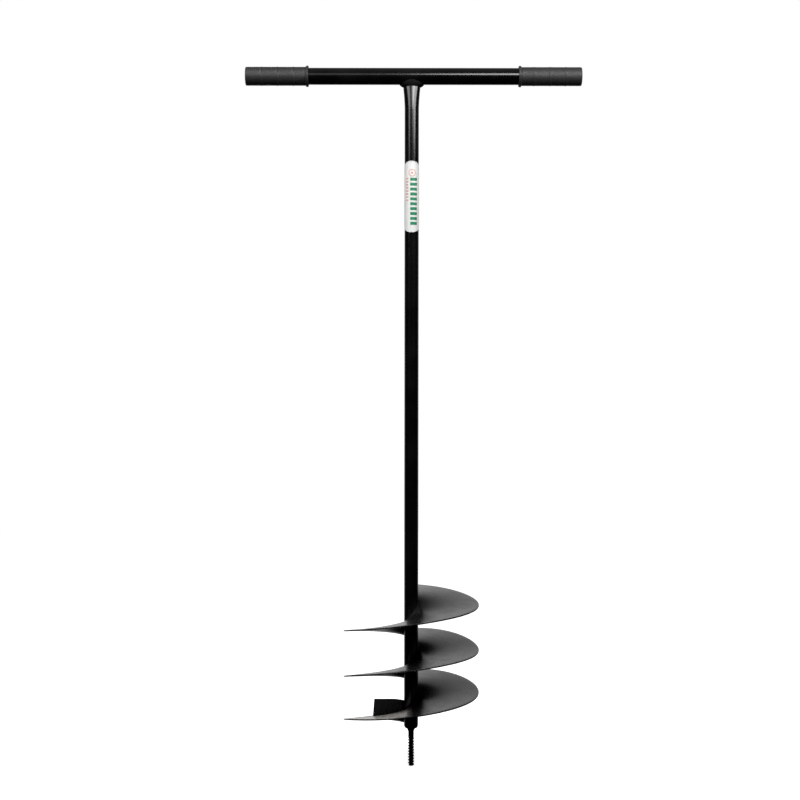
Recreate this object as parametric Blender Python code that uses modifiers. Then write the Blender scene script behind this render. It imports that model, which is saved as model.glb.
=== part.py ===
"""Hand earth auger: a T-handle on a tube shaft, with three welded flights, a breaker blade and a pilot screw.

Units are metres and +Z runs up the shaft. The origin is the centre of the pilot screw's blunt end. The
crossbar runs along X. Each sub-part is one closed solid, and solids that touch keep a gap of 0.3 mm.
"""

import math
import typing

import bpy

# Gap between solids that touch on the real tool.
GAP = 0.0003

# Crossbar: a steel tube with a rubber grip pushed over each end.
BAR_RADIUS = 0.0124
BAR_WALL = 0.0015
BAR_HEIGHT = 1.0182
HANDLE_LENGTH = 0.4965
HANDLE_OFFSET = 0.0026
GRIP_LENGTH = 0.093
GRIP_RADIUS = 0.0137
GRIP_END_WALL = 0.0025
GRIP_EDGE_ROUND = 0.0012
GRIP_COLLAR_RADIUS = 0.0155
GRIP_COLLAR_LENGTH = 0.0035
GRIP_RING_COUNT = 3
GRIP_RING_PITCH = 0.0235
GRIP_RING_WIDTH = 0.0036
GRIP_RING_HEIGHT = 0.0003

# Shaft: a steel tube whose top end is pressed into an oval where it meets the crossbar.
SHAFT_RADIUS = 0.0105
SHAFT_WALL = 0.0015
SHAFT_BOTTOM = 0.0613
FLARE_LENGTH = 0.038
FLARE_EXTRA = 0.0026
FLARE_PINCH = 0.0018
FLARE_POWER = 1.7

# Fillet weld that joins the shaft's oval end to the crossbar.
TEE_WELD_DEPTH = 0.0040
TEE_WELD_LEG_X = 0.0050
TEE_WELD_LEG_Y = 0.0020

# Sticker around the front of the upper shaft.
LABEL_CENTRE = 0.8394
LABEL_LENGTH = 0.1050
LABEL_ARC = math.radians(204)
LABEL_INNER_RADIUS = SHAFT_RADIUS + 0.00015
LABEL_THICKNESS = 0.00025

# Flights: one-turn plates, each pulled open to the lead and welded to the shaft and to the next.
FLIGHT_RADIUS = 0.100
FLIGHT_THICKNESS = 0.002
SEAM_ANGLE = math.radians(90)
SEAM_GAP = 0.0006
LOWER_START = 0.085


class Flight(typing.NamedTuple):
    """One flight: the heights at which its root and rim start and end, and how its rim leaves the helix.

    A plate pulled open in a press ends up with its rim tilted and bent into a saddle, with a small wave.
    Each is a height at the rim. The saddle's high point differs from flight to flight.
    """

    name: str
    root: tuple
    rim: tuple
    tilt: float
    saddle: float
    saddle_at: float
    wave: float


SEAM_HEIGHTS = (0.0561, 0.1228, 0.1854, 0.2539)
LOWER = Flight(
    name="lower",
    root=SEAM_HEIGHTS[0:2],
    rim=(0.0563, 0.1240),
    tilt=0.0049,
    saddle=0.0030,
    saddle_at=math.radians(57),
    wave=0.0011,
)
MIDDLE = Flight(
    name="middle",
    root=SEAM_HEIGHTS[1:3],
    rim=(0.1221, 0.1859),
    tilt=0.0055,
    saddle=0.0035,
    saddle_at=math.radians(66),
    wave=0.0013,
)
UPPER = Flight(
    name="upper",
    root=SEAM_HEIGHTS[2:4],
    rim=(0.1855, 0.2543),
    tilt=0.0030,
    saddle=0.0017,
    saddle_at=math.radians(75),
    wave=0.0006,
)
FLIGHTS = (LOWER, MIDDLE, UPPER)
TILT_AT = math.radians(-18)
WAVE_AT = math.radians(-48)

# Fillet welds between each flight and the shaft, above and below the plate.
ROOT_WELD_OUT = 0.0036
ROOT_WELD_UP = 0.0045
ROOT_WELD_TRIM = 0.022
UNDER_WELD_START = 0.18

# Cap welds across the seams between flights.
SEAM_WELD_HALF_WIDTH = 0.003
SEAM_WELD_HEIGHT = 0.0014
SEAM_WELD_INNER = 0.0155
SEAM_WELD_OUTER = 0.097

# Breaker blade: an upright plate on the shaft's left side, standing on the lowest flight.
BLADE_THICKNESS = 0.003
BLADE_TOP = 0.0984
BLADE_REACH_TOP = 0.0545
BLADE_REACH_BOTTOM = 0.0565
BLADE_FLOAT = 0.0005
BLADE_COPE = 0.008
BLADE_TOP_DROP = 0.0018
BLADE_DROP_LENGTH = 0.014
BLADE_COLUMNS = 12
BLADE_WELD_TOP = 0.0962
BLADE_WELD_LEG = 0.0040
BLADE_WELD_WRAP = math.radians(32)

# Domed plug that closes the shaft, and the threaded pilot held in it.
PLUG_BOTTOM = 0.0552
PLUG_SPIGOT_TOP = 0.0690
PLUG_NOSE_RADIUS = 0.0062
PILOT_SHANK_RADIUS = 0.0042
PILOT_CREST_RADIUS = 0.0047
PILOT_ROOT_RADIUS = 0.0033
PILOT_PITCH = 0.0042
PILOT_THREAD_TOP = 0.0415
PILOT_SHANK_TOP = 0.0680
PILOT_END_RADIUS = 0.0030
PILOT_CHAMFER = 0.0008
PILOT_WELD_DEPTH = 0.0045
PILOT_WELD_WIDTH = 0.0018

# How finely the round shapes are cut.
ROUND_STEPS = 32
GRIP_STEPS = 24
FLIGHT_STEPS = 60
FLIGHT_RINGS = (SHAFT_RADIUS + GAP, 0.016, 0.040, FLIGHT_RADIUS)
WELD_STEPS = 40
THREAD_STEPS = 14
THREAD_ROWS_PER_PITCH = 6

FULL_TURN = 2 * math.pi


def clear_scene():
    for old in list(bpy.data.objects):
        bpy.data.objects.remove(old, do_unlink=True)


def make_material(name, colour, roughness, metallic=0.0):
    material = bpy.data.materials.new(name)
    material.use_nodes = True
    shader = material.node_tree.nodes["Principled BSDF"]
    shader.inputs["Base Color"].default_value = (*colour, 1.0)
    shader.inputs["Roughness"].default_value = roughness
    shader.inputs["Metallic"].default_value = metallic
    return material


def add_object(name, mesh, material, parent):
    """Puts a mesh in the tool's collection under its parent empty, shaded smooth except at sharp edges."""
    mesh.materials.append(material)
    mesh.shade_smooth()
    mesh.set_sharp_from_angle(angle=math.radians(35))
    made = bpy.data.objects.new(name, mesh)
    made.parent = parent
    bpy.data.collections["earth_auger"].objects.link(made)
    return made


def add_empty(name, location=(0, 0, 0), parent=None):
    made = bpy.data.objects.new(name, None)
    made.location = location
    made.parent = parent
    bpy.data.collections["earth_auger"].objects.link(made)
    return made


def turned(name, profile, material, parent, closed=False, steps=ROUND_STEPS):
    """A solid of revolution about Z. The profile runs down its outer side as (radius, height) pairs."""
    points = [(radius, 0.0, height) for radius, height in profile]
    edges = [(i, i + 1) for i in range(len(points) - 1)]
    if closed:
        edges.append((len(points) - 1, 0))
    mesh = bpy.data.meshes.new(name)
    mesh.from_pydata(points, edges, [])
    made = add_object(name, mesh, material, parent)
    screw = made.modifiers.new("turn", "SCREW")
    screw.steps = steps
    screw.render_steps = steps
    screw.use_merge_vertices = True
    screw.merge_threshold = 0.00001
    screw.use_smooth_shade = True
    return made


def lofted(name, rings, material, parent, closed_path=False):
    """A solid through rings of equally many points, with flat caps on an open path."""
    count = len(rings[0])
    points = [point for ring in rings for point in ring]
    faces = []
    spans = len(rings) if closed_path else len(rings) - 1
    for ring in range(spans):
        here = ring * count
        there = (ring + 1) % len(rings) * count
        for i in range(count):
            j = (i + 1) % count
            faces.append((here + i, here + j, there + j, there + i))
    if not closed_path:
        faces.append(tuple(reversed(range(count))))
        faces.append(tuple(range(len(points) - count, len(points))))
    mesh = bpy.data.meshes.new(name)
    mesh.from_pydata(points, [], faces)
    mesh.validate()
    made = add_object(name, mesh, material, parent)
    if signed_volume(mesh) < 0:
        mesh.flip_normals()
    return made


def signed_volume(mesh):
    """Positive when a closed mesh's faces point out."""
    total = 0.0
    for face in mesh.polygons:
        corners = [mesh.vertices[i].co for i in face.vertices]
        for i in range(1, len(corners) - 1):
            total += corners[0].dot(corners[i].cross(corners[i + 1]))
    return total


def arc_points(centre, radius, start, end, steps):
    """Points on a circular arc in a profile's plane, with angles in degrees from the radius axis."""
    points = []
    for i in range(steps + 1):
        angle = math.radians(start + (end - start) * i / steps)
        points.append((centre[0] + radius * math.cos(angle), centre[1] + radius * math.sin(angle)))
    return points


def build_crossbar(material, parent):
    half = HANDLE_LENGTH / 2 - GRIP_END_WALL - GAP
    inner = BAR_RADIUS - BAR_WALL
    profile = [(BAR_RADIUS, half), (BAR_RADIUS, -half), (inner, -half), (inner, half)]
    bar = turned("crossbar_tube", profile, material, parent, closed=True)
    bar.rotation_euler = (0, math.pi / 2, 0)


def grip_profile():
    """A cup, open at the collar end at height 0 and closed at the outer end."""
    edge = (GRIP_RADIUS - GRIP_EDGE_ROUND, GRIP_LENGTH - GRIP_EDGE_ROUND)
    profile = [(0.0, GRIP_LENGTH)]
    profile += arc_points(edge, GRIP_EDGE_ROUND, 90, 0, 3)
    for ring in range(GRIP_RING_COUNT):
        middle = GRIP_LENGTH - (ring + 1) * GRIP_RING_PITCH
        for side in (1, -1):
            shoulder = middle + side * GRIP_RING_WIDTH / 2
            crest = shoulder - side * GRIP_RING_HEIGHT
            pair = [(GRIP_RADIUS, shoulder), (GRIP_RADIUS + GRIP_RING_HEIGHT, crest)]
            profile += pair if side > 0 else pair[::-1]
    profile += [
        (GRIP_RADIUS, GRIP_COLLAR_LENGTH),
        (GRIP_COLLAR_RADIUS, GRIP_COLLAR_LENGTH - GRIP_EDGE_ROUND / 2),
        (GRIP_COLLAR_RADIUS, GRIP_EDGE_ROUND / 2),
        (GRIP_COLLAR_RADIUS - GRIP_EDGE_ROUND / 2, 0.0),
        (BAR_RADIUS + GAP, 0.0),
        (BAR_RADIUS + GAP, GRIP_LENGTH - GRIP_END_WALL),
        (0.0, GRIP_LENGTH - GRIP_END_WALL),
    ]
    return profile


def build_grips(material, parent):
    collar = HANDLE_LENGTH / 2 - GRIP_LENGTH
    for name, side in (("grip_left", -1), ("grip_right", 1)):
        grip = turned(name, grip_profile(), material, parent, steps=GRIP_STEPS)
        grip.location = (side * collar, 0, 0)
        grip.rotation_euler = (0, side * math.pi / 2, 0)


def bar_underside(y):
    """Height of the crossbar's lower surface at a distance from its axis, less the gap."""
    reach = BAR_RADIUS + GAP
    return BAR_HEIGHT - math.sqrt(reach * reach - y * y)


def shaft_half_axes(height):
    """Outer half-width along X and half-depth along Y of the shaft, whose top end is wider and less deep."""
    below = BAR_HEIGHT - BAR_RADIUS - height
    share = min(1.0, max(0.0, 1.0 - below / FLARE_LENGTH)) ** FLARE_POWER
    return SHAFT_RADIUS + FLARE_EXTRA * share, SHAFT_RADIUS - FLARE_PINCH * share


def oval_ring(height, offset, steps=ROUND_STEPS, saddle=False):
    """Points around the shaft at a height, moved out by an offset, or up to the crossbar where saddled."""
    wide, deep = shaft_half_axes(height)
    ring = []
    for i in range(steps):
        angle = FULL_TURN * i / steps
        x = (wide + offset) * math.cos(angle)
        y = (deep + offset) * math.sin(angle)
        ring.append((x, y, bar_underside(y) if saddle else height))
    return ring


def build_shaft(material, parent):
    """The tube's outer rings run down from the saddle-cut end, and its inner rings run back up."""
    top = BAR_HEIGHT - BAR_RADIUS - GAP
    flare_rings = 9
    levels = [top - 0.0025 - (FLARE_LENGTH - 0.0025) * i / flare_rings for i in range(flare_rings + 1)]
    rings = [oval_ring(top, 0.0, saddle=True)]
    rings += [oval_ring(level, 0.0) for level in levels]
    rings += [oval_ring(SHAFT_BOTTOM, 0.0), oval_ring(SHAFT_BOTTOM, -SHAFT_WALL)]
    rings += [oval_ring(level, -SHAFT_WALL) for level in reversed(levels)]
    rings.append(oval_ring(top, -SHAFT_WALL, saddle=True))
    lofted("shaft_tube", rings, material, parent, closed_path=True)


def build_tee_weld(material, parent):
    """A fillet around the oval end: its outer face runs from the crossbar down to the shaft."""
    top = BAR_HEIGHT - BAR_RADIUS - GAP
    bottom = top - TEE_WELD_DEPTH
    wide_top, deep_top = shaft_half_axes(top)
    wide_low, deep_low = shaft_half_axes(bottom)
    rings = []
    for i in range(ROUND_STEPS):
        angle = FULL_TURN * i / ROUND_STEPS
        cos, sin = math.cos(angle), math.sin(angle)
        wall_y = (deep_top + GAP) * sin
        wall_high = ((wide_top + GAP) * cos, wall_y, bar_underside(wall_y))
        wall_low = ((wide_low + GAP) * cos, (deep_low + GAP) * sin, bottom)
        toe_y = (deep_top + TEE_WELD_LEG_Y) * sin
        toe = ((wide_top + TEE_WELD_LEG_X) * cos, toe_y, bar_underside(toe_y))
        swell = ((wide_top + TEE_WELD_LEG_X * 0.55) * cos, (deep_top + TEE_WELD_LEG_Y * 0.6) * sin)
        belly = (*swell, bottom + (toe[2] - bottom) * 0.45)
        heel = ((wide_low + GAP * 3) * cos, (deep_low + GAP * 3) * sin, bottom)
        rings.append([wall_high, wall_low, heel, belly, toe])
    lofted("tee_weld", rings, material, parent, closed_path=True)


def build_label(material, parent):
    """A curved strip with round ends, centred on the side that faces -Y."""
    columns = 20
    half_width = LABEL_INNER_RADIUS * LABEL_ARC / 2
    straight = LABEL_LENGTH / 2 - half_width
    outer = LABEL_INNER_RADIUS + LABEL_THICKNESS
    rings = []
    for i in range(columns + 1):
        share = 2 * i / columns - 1
        angle = -math.pi / 2 + share * LABEL_ARC / 2
        rise = straight + half_width * math.sqrt(max(0.0, 1.0 - share * share))
        cos, sin = math.cos(angle), math.sin(angle)
        rings.append(
            [
                (LABEL_INNER_RADIUS * cos, LABEL_INNER_RADIUS * sin, LABEL_CENTRE - rise),
                (outer * cos, outer * sin, LABEL_CENTRE - rise),
                (outer * cos, outer * sin, LABEL_CENTRE + rise),
                (LABEL_INNER_RADIUS * cos, LABEL_INNER_RADIUS * sin, LABEL_CENTRE + rise),
            ]
        )
    lofted("label", rings, material, parent)


def rim_warp(flight, angle):
    """How far a flight's rim stands above the true helix at an angle around the shaft."""
    tilt = flight.tilt * math.cos(angle - TILT_AT)
    saddle = flight.saddle * math.cos(2 * (angle - flight.saddle_at))
    wave = flight.wave * math.cos(3 * (angle - WAVE_AT))
    return tilt + saddle + wave


def flight_middle(flight, angle, radius):
    """Height of a plate's middle surface. The angle grows from the seam at the back, where it starts."""
    turn = (angle - SEAM_ANGLE) / FULL_TURN
    root = flight.root[0] + (flight.root[1] - flight.root[0]) * turn
    rim = flight.rim[0] + (flight.rim[1] - flight.rim[0]) * turn + rim_warp(flight, angle)
    return root + (rim - root) * radius / FLIGHT_RADIUS


def flight_surface(flight, angle, radius, side):
    """Height of a plate's upper surface (side 1) or lower surface (side -1), which slope with the lead."""
    slope = (flight.rim[1] - flight.rim[0]) / FULL_TURN / radius
    upright_half = FLIGHT_THICKNESS / 2 * math.hypot(1.0, slope)
    return flight_middle(flight, angle, radius) + side * upright_half


def flight_span(flight):
    """Start and end angles of a flight. The lowest one starts a little late, where the tube's wall begins."""
    late = LOWER_START * FULL_TURN if flight is LOWER else 0.0
    return SEAM_ANGLE + late, SEAM_ANGLE + FULL_TURN


def build_flight(flight, material, parent):
    """An open ruled sheet, given its thickness by Solidify. Its two ends are square to the seam."""
    name = f"flight_{flight.name}"
    start, end = flight_span(flight)
    points = []
    for i in range(FLIGHT_STEPS + 1):
        for radius in FLIGHT_RINGS:
            angle = start + (end - start) * i / FLIGHT_STEPS
            if i == 0:
                angle += SEAM_GAP / 2 / radius
            if i == FLIGHT_STEPS:
                angle -= SEAM_GAP / 2 / radius
            height = flight_middle(flight, angle, radius)
            points.append((radius * math.cos(angle), radius * math.sin(angle), height))
    across = len(FLIGHT_RINGS)
    faces = []
    for i in range(FLIGHT_STEPS):
        for j in range(across - 1):
            corner = i * across + j
            faces.append((corner, corner + 1, corner + across + 1, corner + across))
    mesh = bpy.data.meshes.new(name)
    mesh.from_pydata(points, [], faces)
    made = add_object(name, mesh, material, parent)
    shell = made.modifiers.new("plate", "SOLIDIFY")
    shell.thickness = FLIGHT_THICKNESS
    shell.offset = 0.0


def build_root_weld(flight, side, material, parent):
    """A fillet along the shaft above (side 1) or below (side -1) a flight."""
    start, end = flight_span(flight)
    start += ROOT_WELD_TRIM * FULL_TURN
    end -= ROOT_WELD_TRIM * FULL_TURN
    if flight is LOWER and side < 0:
        start = SEAM_ANGLE + UNDER_WELD_START * FULL_TURN
    wall = SHAFT_RADIUS + GAP
    rings = []
    for i in range(WELD_STEPS + 1):
        angle = start + (end - start) * i / WELD_STEPS
        cos, sin = math.cos(angle), math.sin(angle)
        ring = []
        for out, up in ((0.0, 0.0), (1.0, 0.0), (0.62, 0.56), (0.0, 1.0)):
            radius = wall + out * ROOT_WELD_OUT
            clear = 2 * GAP + up * ROOT_WELD_UP
            height = flight_surface(flight, angle, radius, side) + side * clear
            ring.append((radius * cos, radius * sin, height))
        rings.append(ring)
    place = "top" if side > 0 else "under"
    lofted(f"root_weld_{flight.name}_{place}", rings, material, parent)


def build_seam_weld(below, above, material, parent):
    """A low bead across the upper side of the seam where one flight ends and the next one up starts."""
    stations = 7
    rings = []
    for i in range(stations + 1):
        radius = SEAM_WELD_INNER + (SEAM_WELD_OUTER - SEAM_WELD_INNER) * i / stations
        foot = []
        crown = []
        for share in (-1.0, -0.6, 0.0, 0.6, 1.0):
            turn = share * SEAM_WELD_HALF_WIDTH / radius
            angle = SEAM_ANGLE + turn
            ending = flight_surface(below, angle + FULL_TURN, radius, 1)
            starting = flight_surface(above, angle, radius, 1)
            height = max(ending, starting) + GAP * 1.5
            place = (radius * math.cos(angle), radius * math.sin(angle))
            foot.append((*place, height))
            if abs(share) < 1.0:
                swell = SEAM_WELD_HEIGHT * math.sqrt(1.0 - share * share)
                crown.append((*place, height + swell))
        rings.append(foot + crown[::-1])
    lofted(f"seam_weld_{below.name}_{above.name}", rings, material, parent)


def build_blade(material, parent):
    """An upright plate along -X. Its foot follows the lowest flight and is coped over the root weld."""
    wall = SHAFT_RADIUS + GAP
    rings = []
    for i in range(BLADE_COLUMNS + 1):
        share = i / BLADE_COLUMNS
        foot_x = wall + (BLADE_REACH_BOTTOM - wall) * share
        head_x = wall + (BLADE_REACH_TOP - wall) * share
        cope = max(0.0, BLADE_COPE - (foot_x - wall))
        drop = BLADE_TOP_DROP * max(0.0, 1.0 - (head_x - wall) / BLADE_DROP_LENGTH)
        foot = []
        for y in (-BLADE_THICKNESS / 2, BLADE_THICKNESS / 2):
            angle = math.atan2(y, -foot_x) % FULL_TURN
            height = flight_surface(LOWER, angle, math.hypot(foot_x, y), 1) + BLADE_FLOAT + cope
            foot.append((-foot_x, y, height))
        head = BLADE_TOP - drop
        back_top = (-head_x, BLADE_THICKNESS / 2, head)
        front_top = (-head_x, -BLADE_THICKNESS / 2, head)
        rings.append([*foot, back_top, front_top])
    lofted("breaker_blade", rings, material, parent)


def build_blade_weld(name, side, material, parent):
    """An upright fillet between the blade's face and the shaft, on the front (-1) or the back (1)."""
    wall = SHAFT_RADIUS + GAP
    face = BLADE_THICKNESS / 2 + GAP
    root = math.asin(face / wall)
    outline = [(-wall - BLADE_WELD_LEG, face), (-wall - BLADE_WELD_LEG * 0.35, face + BLADE_WELD_LEG * 0.42)]
    for share in (1.0, 0.5, 0.0):
        angle = root + (BLADE_WELD_WRAP - root) * share
        outline.append((-wall * math.cos(angle), wall * math.sin(angle)))
    highest = math.pi + (BLADE_WELD_WRAP if side < 0 else 0.0)
    bottom = flight_surface(LOWER, highest, wall, 1) + ROOT_WELD_UP + 4 * GAP
    rings = []
    for height in (bottom, BLADE_WELD_TOP):
        rings.append([(x, side * y, height) for x, y in outline])
    lofted(name, rings, material, parent)


def build_end_plug(material, parent):
    """A spigot inside the tube, and below it a dome that comes in to the pilot's shank."""
    bore = PILOT_SHANK_RADIUS + GAP
    spigot = SHAFT_RADIUS - SHAFT_WALL - GAP
    shoulder = SHAFT_BOTTOM - GAP
    profile = [(spigot, PLUG_SPIGOT_TOP), (spigot, shoulder), (SHAFT_RADIUS, shoulder)]
    dome_steps = 5
    for i in range(dome_steps + 1):
        angle = math.pi / 2 * i / dome_steps
        radius = PLUG_NOSE_RADIUS + (SHAFT_RADIUS - PLUG_NOSE_RADIUS) * math.cos(angle)
        height = shoulder - 0.0008 - (shoulder - 0.0008 - PLUG_BOTTOM) * math.sin(angle)
        profile.append((radius, height))
    profile += [(bore, PLUG_BOTTOM), (bore, PLUG_SPIGOT_TOP)]
    turned("end_plug", profile, material, parent, closed=True, steps=GRIP_STEPS)


def build_pilot(material, parent):
    """A blunt rod with a coarse right-hand thread, and a plain shank that goes up into the plug."""
    step = PILOT_PITCH / THREAD_ROWS_PER_PITCH
    rows = int((PILOT_THREAD_TOP - PILOT_CHAMFER) / step)
    levels = [PILOT_CHAMFER + step * i for i in range(rows + 1)]
    depth = PILOT_CREST_RADIUS - PILOT_ROOT_RADIUS

    def ring(height, radius_at):
        points = []
        for i in range(THREAD_STEPS):
            angle = FULL_TURN * i / THREAD_STEPS
            radius = radius_at(angle, height)
            points.append((radius * math.cos(angle), radius * math.sin(angle), height))
        return points

    def thread_radius(angle, height):
        wave = math.cos(FULL_TURN * height / PILOT_PITCH - angle)
        return PILOT_ROOT_RADIUS + depth * (0.5 + 0.5 * wave)

    rings = [ring(0.0, lambda angle, height: PILOT_END_RADIUS)]
    rings += [ring(level, thread_radius) for level in levels]
    for height in (PILOT_THREAD_TOP + 0.001, PILOT_SHANK_TOP):
        rings.append(ring(height, lambda angle, height: PILOT_SHANK_RADIUS))
    lofted("pilot_screw", rings, material, parent)


def build_pilot_weld(material, parent):
    """A ring of weld in the corner between the plug's nose and the pilot's shank."""
    inner = PILOT_SHANK_RADIUS + GAP
    top = PLUG_BOTTOM - GAP
    profile = [
        (inner + PILOT_WELD_WIDTH, top),
        (inner + PILOT_WELD_WIDTH * 0.55, top - PILOT_WELD_DEPTH * 0.4),
        (inner + PILOT_WELD_WIDTH * 0.12, top - PILOT_WELD_DEPTH),
        (inner, top - PILOT_WELD_DEPTH),
        (inner, top),
    ]
    turned("pilot_weld", profile, material, parent, closed=True, steps=GRIP_STEPS)


def main():
    clear_scene()
    collection = bpy.data.collections.new("earth_auger")
    bpy.context.scene.collection.children.link(collection)

    gloss_black = make_material("gloss_black_paint", (0.010, 0.010, 0.011), 0.22)
    satin_black = make_material("satin_black_paint", (0.020, 0.020, 0.021), 0.42)
    grip_rubber = make_material("grip_rubber", (0.030, 0.030, 0.032), 0.62)
    sticker = make_material("sticker", (0.85, 0.86, 0.85), 0.35)

    auger = add_empty("auger")
    handle = add_empty("handle", location=(HANDLE_OFFSET, 0, BAR_HEIGHT), parent=auger)

    build_crossbar(gloss_black, handle)
    build_grips(grip_rubber, handle)
    build_shaft(gloss_black, auger)
    build_tee_weld(gloss_black, auger)
    build_label(sticker, auger)
    for flight in FLIGHTS:
        build_flight(flight, satin_black, auger)
        build_root_weld(flight, 1, satin_black, auger)
        build_root_weld(flight, -1, satin_black, auger)
    for below, above in zip(FLIGHTS, FLIGHTS[1:]):
        build_seam_weld(below, above, satin_black, auger)
    build_blade(satin_black, auger)
    build_blade_weld("blade_weld_front", -1, satin_black, auger)
    build_blade_weld("blade_weld_back", 1, satin_black, auger)
    build_end_plug(gloss_black, auger)
    build_pilot(gloss_black, auger)
    build_pilot_weld(gloss_black, auger)


main()
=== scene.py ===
"""The looks of a hand earth auger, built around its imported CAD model.

Units are metres, in the frame's own axes: +Z runs up the shaft, the crossbar runs along X, and the camera
looks along +Y. Pieces take their places from the boxes of the CAD nodes that they stand for, and the sizes
that a box doesn't give are repeated from the design.
"""

import math

import bpy
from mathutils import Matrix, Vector, noise


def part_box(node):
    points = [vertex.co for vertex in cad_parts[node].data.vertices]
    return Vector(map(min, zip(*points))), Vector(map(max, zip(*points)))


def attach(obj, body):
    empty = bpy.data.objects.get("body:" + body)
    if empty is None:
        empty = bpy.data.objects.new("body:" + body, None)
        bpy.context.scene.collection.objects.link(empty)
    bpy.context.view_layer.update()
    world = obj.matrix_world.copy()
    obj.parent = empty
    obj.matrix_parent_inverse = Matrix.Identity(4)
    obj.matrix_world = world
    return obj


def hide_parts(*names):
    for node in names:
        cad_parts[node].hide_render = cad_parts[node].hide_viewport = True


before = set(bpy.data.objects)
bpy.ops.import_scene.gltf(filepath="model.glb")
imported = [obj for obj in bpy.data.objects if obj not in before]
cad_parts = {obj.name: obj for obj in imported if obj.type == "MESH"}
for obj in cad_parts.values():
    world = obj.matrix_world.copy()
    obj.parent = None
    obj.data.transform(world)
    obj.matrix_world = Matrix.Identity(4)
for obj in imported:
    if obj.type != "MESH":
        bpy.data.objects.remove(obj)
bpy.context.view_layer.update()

FULL_TURN = 2 * math.pi
BODY = "root"
SHARP_ANGLE = math.radians(40)
TUBE_STEPS = 128
TURNED_STEPS = 96

# Sizes read from the CAD nodes.
BAR_LOW, BAR_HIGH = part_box("crossbar_tube")
PLUG_LOW, PLUG_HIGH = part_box("end_plug")
LABEL_LOW, LABEL_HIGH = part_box("label")
PILOT_WELD_LOW, PILOT_WELD_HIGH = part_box("pilot_weld")
BAR_RADIUS = (BAR_HIGH.z - BAR_LOW.z) / 2
BAR_HEIGHT = (BAR_HIGH.z + BAR_LOW.z) / 2
SHAFT_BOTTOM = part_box("shaft_tube")[0].z
BLADE_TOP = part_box("breaker_blade")[1].z
PLUG_BOTTOM = PLUG_LOW.z
PLUG_TOP = PLUG_HIGH.z

# A turned profile stops just short of its axis. Pieces that are pressed or set into others overlap them a
# little, so that no gap shows.
AXIS_GAP = 0.0002
GRIP_SQUEEZE = 0.0001
SADDLE_SINK = 0.0003
BLADE_SINK = 0.0002
FLIGHT_SINK = 0.0002
PILOT_SINK = 0.0002
PILOT_WELD_SINK = 0.0003

# Tube walls, and the oval that the shaft's top end is pressed into. Its rings start at the saddle cut's
# lowest drop and run out a little below the oval.
TUBE_WALL = 0.0015
SHAFT_RADIUS = 0.0105
FLARE_LENGTH = 0.038
FLARE_EXTRA = 0.0026
FLARE_PINCH = 0.0018
FLARE_POWER = 1.7
FLARE_RINGS = 36
FLARE_RUNOUT = 0.006
SADDLE_DROP = 0.0026

# Weld beads are sunk into what they join, and rippled by the torch's steps.
WELD_SINK = 0.0004
RIPPLE_PITCH = 0.0019
RIPPLE_SAMPLES = 6
RIPPLE_DEPTH = 0.10
RIPPLE_DRIFT = 0.10
RIPPLE_DRIFT_SCALE = 180.0
TEE_WELD_DEPTH = 0.0040
TEE_WELD_LEG_X = 0.0050
TEE_WELD_LEG_Y = 0.0020
TEE_WELD_BULGE = 0.0009
TEE_WELD_HEEL_SWELL = 0.25
ROOT_WELD_OUT = 0.0036
ROOT_WELD_UP = 0.0045
ROOT_WELD_TRIM = 0.022
ROOT_WELD_OUTLINE = (
    (0.0, 0.0),
    (1.0, 0.0),
    (0.80, 0.22),
    (0.58, 0.45),
    (0.35, 0.68),
    (0.15, 0.87),
    (0.0, 1.0),
)
ROOT_WELD_END_SIZE = 0.35
ROOT_WELD_END_GROWTH = 4
UNDER_WELD_START = 0.18
SEAM_WELD_HALF_WIDTH = 0.003
SEAM_WELD_HEIGHT = 0.0014
SEAM_WELD_INNER = 0.0140
SEAM_WELD_OUTER = 0.0975
BLADE_WELD_LEG = 0.0040
BLADE_WELD_WRAP = math.radians(32)
BLADE_WELD_BULGE = 0.0006
BLADE_WELD_FOOT = 0.6
BLADE_WELD_END_SIZE = 0.5
BLADE_WELD_END_GROWTH = 5

# Grips: a rubber sleeve with a collar, raised rings and fine grooves between them.
GRIP_RADIUS = 0.0137
GRIP_EDGE_ROUND = 0.0016
GRIP_COLLAR_RADIUS = 0.0155
GRIP_COLLAR_LENGTH = 0.0035
GRIP_COLLAR_ROUND = 0.0008
GRIP_COLLAR_FLANK = 0.0006
GRIP_PLAIN_LENGTH = 0.002
GRIP_END_WALL = 0.0025
GRIP_RING_COUNT = 3
GRIP_RING_PITCH = 0.0235
GRIP_RING_WIDTH = 0.00216
GRIP_RING_HEIGHT = 0.0003
GROOVES_PER_RING = 8
GROOVE_WIDTH = 0.0009
GROOVE_DEPTH = 0.00014
GROOVE_OUTLINE = ((0.5, 0.0), (0.28, 0.75), (0.0, 1.0), (-0.28, 0.75), (-0.5, 0.0))

# Label: a wrapped strip with round ends, and its printed marks.
LABEL_ARC = math.radians(204)
LABEL_RADIUS = 0.0109
LABEL_GLUE = 0.00003
LABEL_COLUMNS = 72
LABEL_ROWS = 40
PRINT_THICKNESS = 0.00006
PRINT_SINK = 0.00002
BAR_ARC = (-0.0022, 0.0084)
BAR_TOP = 0.8669
BAR_COUNT = 10
BAR_PITCH = 0.0072
BAR_THICKNESS = 0.0044
DASH_ARC = (-0.0090, -0.0050)
DASH_TOP = 0.8667
DASH_COUNT = 8
DASH_PITCH = 0.0045
DASH_THICKNESS = 0.0019
MARK_CENTRE = (0.0006, 0.8743)
MARK_OUTER = 0.0054
MARK_INNER = 0.0044
MARK_DOT = 0.0016

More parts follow.
